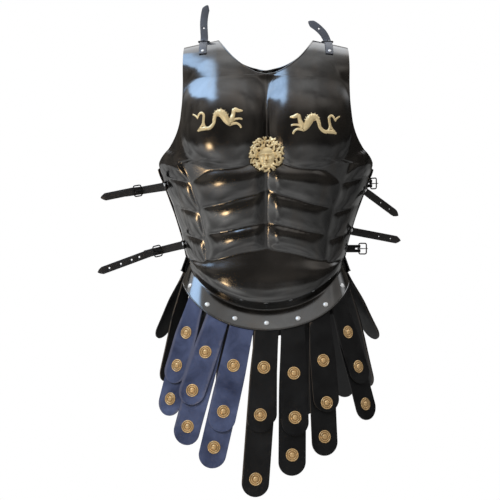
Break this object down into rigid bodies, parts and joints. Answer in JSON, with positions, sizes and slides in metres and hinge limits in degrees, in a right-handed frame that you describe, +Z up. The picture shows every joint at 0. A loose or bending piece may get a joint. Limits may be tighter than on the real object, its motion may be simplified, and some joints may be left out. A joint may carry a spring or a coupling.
{
  "type": "muscle cuirass",
  "caption": "Blackened steel muscle breastplate and backplate with buckled leather straps, brass trim and hanging studded leather strips.",
  "frame": {"origin": "on the middle line, between the two plates, at the top of the stand's bar that carries the shoulders", "axes": "+Z up, +X towards the wearer's left, the breastplate faces -Y"},
  "size_m": [0.5989, 0.3221, 0.9441],
  "materials": {
    "steel": "blackened, polished",
    "brass": "satin",
    "iron": "blackened",
    "black_leather": "satin",
    "blue_leather": "satin"
  },
  "bodies": {
    "front": {"front_plate": "steel", "front_belt": "black_leather", "right_serpent": "brass", "left_serpent": "brass", "mask": "brass", "right_shoulder_billet": "black_leather", "right_shoulder_buckle": "iron", "left_shoulder_billet": "black_leather", "left_shoulder_buckle": "iron", "right_upper_billet": "black_leather", "right_upper_buckle": "iron", "right_upper_chape": "black_leather", "right_lower_billet": "black_leather", "right_lower_buckle": "iron", "right_lower_chape": "black_leather"},
    "back": {"back_plate": "steel", "back_belt": "black_leather", "right_shoulder_chape": "black_leather", "left_shoulder_chape": "black_leather", "left_upper_chape": "black_leather", "left_lower_chape": "black_leather"},
    "front_strip_1": {"front_strip_upper_1": "blue_leather", "front_strip_lower_1": "blue_leather"},
    "front_strip_2": {"front_strip_upper_2": "blue_leather", "front_strip_lower_2": "blue_leather"},
    "front_strip_3": {"front_strip_upper_3": "blue_leather", "front_strip_lower_3": "blue_leather"},
    "front_strip_4": {"front_strip_upper_4": "black_leather", "front_strip_lower_4": "black_leather"},
    "front_strip_5": {"front_strip_upper_5": "black_leather", "front_strip_lower_5": "black_leather"},
    "front_strip_6": {"front_strip_upper_6": "black_leather", "front_strip_lower_6": "black_leather"},
    "front_strip_7": {"front_strip_upper_7": "black_leather", "front_strip_lower_7": "black_leather"},
    "back_strip_1": {"back_strip_upper_1": "black_leather", "back_strip_lower_1": "black_leather"},
    "back_strip_2": {"back_strip_upper_2": "black_leather", "back_strip_lower_2": "black_leather"},
    "back_strip_3": {"back_strip_upper_3": "black_leather", "back_strip_lower_3": "black_leather"},
    "back_strip_4": {"back_strip_upper_4": "black_leather", "back_strip_lower_4": "black_leather"},
    "back_strip_5": {"back_strip_upper_5": "black_leather", "back_strip_lower_5": "black_leather"},
    "back_strip_6": {"back_strip_upper_6": "black_leather", "back_strip_lower_6": "black_leather"},
    "back_strip_7": {"back_strip_upper_7": "black_leather", "back_strip_lower_7": "black_leather"},
    "right_shoulder_prong": {"right_shoulder_prong": "iron"},
    "left_shoulder_prong": {"left_shoulder_prong": "iron"},
    "right_upper_prong": {"right_upper_prong": "iron"},
    "right_lower_prong": {"right_lower_prong": "iron"},
    "left_upper_buckle": {"left_upper_buckle": "iron"},
    "left_upper_prong": {"left_upper_prong": "iron"},
    "left_upper_billet": {"left_upper_billet": "black_leather"},
    "left_lower_buckle": {"left_lower_buckle": "iron"},
    "left_lower_prong": {"left_lower_prong": "iron"},
    "left_lower_billet": {"left_lower_billet": "black_leather"}
  },
  "joints": [
    {"name": "back_hinge", "type": "hinge", "parent": "front", "child": "back", "pos_m": [0, 0.009, -0.00121], "axis": [1, 0, 0], "range_deg": [0, 10]},
    {"name": "front_strip_1_swing", "type": "hinge", "parent": "front", "child": "front_strip_1", "pos_m": [-0.13642, -0.09685, -0.5137], "axis": [-0.4328, 0.6985, 0.5699], "range_deg": [0, 25]},
    {"name": "front_strip_2_swing", "type": "hinge", "parent": "front", "child": "front_strip_2", "pos_m": [-0.09409, -0.12058, -0.54376], "axis": [-0.8655, 0.255, 0.4311], "range_deg": [0, 35]},
    {"name": "front_strip_3_swing", "type": "hinge", "parent": "front", "child": "front_strip_3", "pos_m": [-0.04709, -0.12892, -0.56004], "axis": [-0.9735, 0.0921, 0.2094], "range_deg": [0, 35]},
    {"name": "front_strip_4_swing", "type": "hinge", "parent": "front", "child": "front_strip_4", "pos_m": [0, -0.131, -0.565], "axis": [-1, 0, 0], "range_deg": [0, 35]},
    {"name": "front_strip_5_swing", "type": "hinge", "parent": "front", "child": "front_strip_5", "pos_m": [0.04953, -0.12868, -0.5595], "axis": [-0.9704, -0.098, -0.2206], "range_deg": [0, 35]},
    {"name": "front_strip_6_swing", "type": "hinge", "parent": "front", "child": "front_strip_6", "pos_m": [0.10088, -0.1184, -0.5402], "axis": [-0.8371, -0.2918, -0.4627], "range_deg": [0, 35]},
    {"name": "front_strip_7_swing", "type": "hinge", "parent": "front", "child": "front_strip_7", "pos_m": [0.13843, -0.09466, -0.51164], "axis": [-0.5441, -0.6176, -0.5679], "range_deg": [0, 35]},
    {"name": "back_strip_1_swing", "type": "hinge", "parent": "back", "child": "back_strip_1", "pos_m": [-0.16143, 0.04997, -0.46381], "axis": [0.2604, 0.905, -0.3365], "range_deg": [0, 35]},
    {"name": "back_strip_2_swing", "type": "hinge", "parent": "back", "child": "back_strip_2", "pos_m": [-0.12799, 0.09529, -0.49396], "axis": [0.7531, 0.449, -0.4808], "range_deg": [0, 35]},
    {"name": "back_strip_3_swing", "type": "hinge", "parent": "back", "child": "back_strip_3", "pos_m": [-0.06768, 0.11309, -0.51895], "axis": [0.9626, 0.1272, -0.2391], "range_deg": [0, 35]},
    {"name": "back_strip_4_swing", "type": "hinge", "parent": "back", "child": "back_strip_4", "pos_m": [0, 0.117, -0.527], "axis": [1, 0, 0], "range_deg": [0, 35]},
    {"name": "back_strip_5_swing", "type": "hinge", "parent": "back", "child": "back_strip_5", "pos_m": [0.06768, 0.11309, -0.51895], "axis": [0.9626, -0.1272, 0.2391], "range_deg": [0, 35]},
    {"name": "back_strip_6_swing", "type": "hinge", "parent": "back", "child": "back_strip_6", "pos_m": [0.12799, 0.09529, -0.49396], "axis": [0.7531, -0.449, 0.4808], "range_deg": [0, 35]},
    {"name": "back_strip_7_swing", "type": "hinge", "parent": "back", "child": "back_strip_7", "pos_m": [0.16143, 0.04997, -0.46381], "axis": [0.2604, -0.905, 0.3365], "range_deg": [0, 35]},
    {"name": "right_shoulder_prong_lift", "type": "hinge", "parent": "front", "child": "right_shoulder_prong", "pos_m": [-0.12199, 0.009, -0.00121], "axis": [-1, 0, 0], "range_deg": [0, 35]},
    {"name": "left_shoulder_prong_lift", "type": "hinge", "parent": "front", "child": "left_shoulder_prong", "pos_m": [0.12199, 0.009, -0.00121], "axis": [-1, 0, 0], "range_deg": [0, 35]},
    {"name": "right_upper_prong_lift", "type": "hinge", "parent": "front", "child": "right_upper_prong", "pos_m": [-0.26003, -0.00375, -0.29701], "axis": [0.1483, 0, -0.9889], "range_deg": [0, 35]},
    {"name": "right_lower_prong_lift", "type": "hinge", "parent": "front", "child": "right_lower_prong", "pos_m": [-0.22104, -0.00375, -0.4169], "axis": [0.2385, 0, -0.9711], "range_deg": [0, 35]},
    {"name": "left_upper_buckle_swing", "type": "hinge", "parent": "back", "child": "left_upper_buckle", "pos_m": [0.21138, 0.03661, -0.27961], "axis": [0, 0, 1], "range_deg": [-40, 40]},
    {"name": "left_upper_prong_lift", "type": "hinge", "parent": "left_upper_buckle", "child": "left_upper_prong", "pos_m": [0.21138, 0.03661, -0.27961], "axis": [0, 0, 1], "range_deg": [0, 35]},
    {"name": "left_upper_billet_bend", "type": "hinge", "parent": "front", "child": "left_upper_billet", "pos_m": [0.19262, -0.04538, -0.29678], "axis": [0, 0, -1], "range_deg": [0, 20]},
    {"name": "left_lower_buckle_swing", "type": "hinge", "parent": "back", "child": "left_lower_buckle", "pos_m": [0.18597, 0.01689, -0.41025], "axis": [0, 0, 1], "range_deg": [-40, 40]},
    {"name": "left_lower_prong_lift", "type": "hinge", "parent": "left_lower_buckle", "child": "left_lower_prong", "pos_m": [0.18597, 0.01689, -0.41025], "axis": [0, 0, 1], "range_deg": [0, 35]},
    {"name": "left_lower_billet_bend", "type": "hinge", "parent": "front", "child": "left_lower_billet", "pos_m": [0.16589, -0.0428, -0.37421], "axis": [0, 0, -1], "range_deg": [0, 9]}
  ]
}
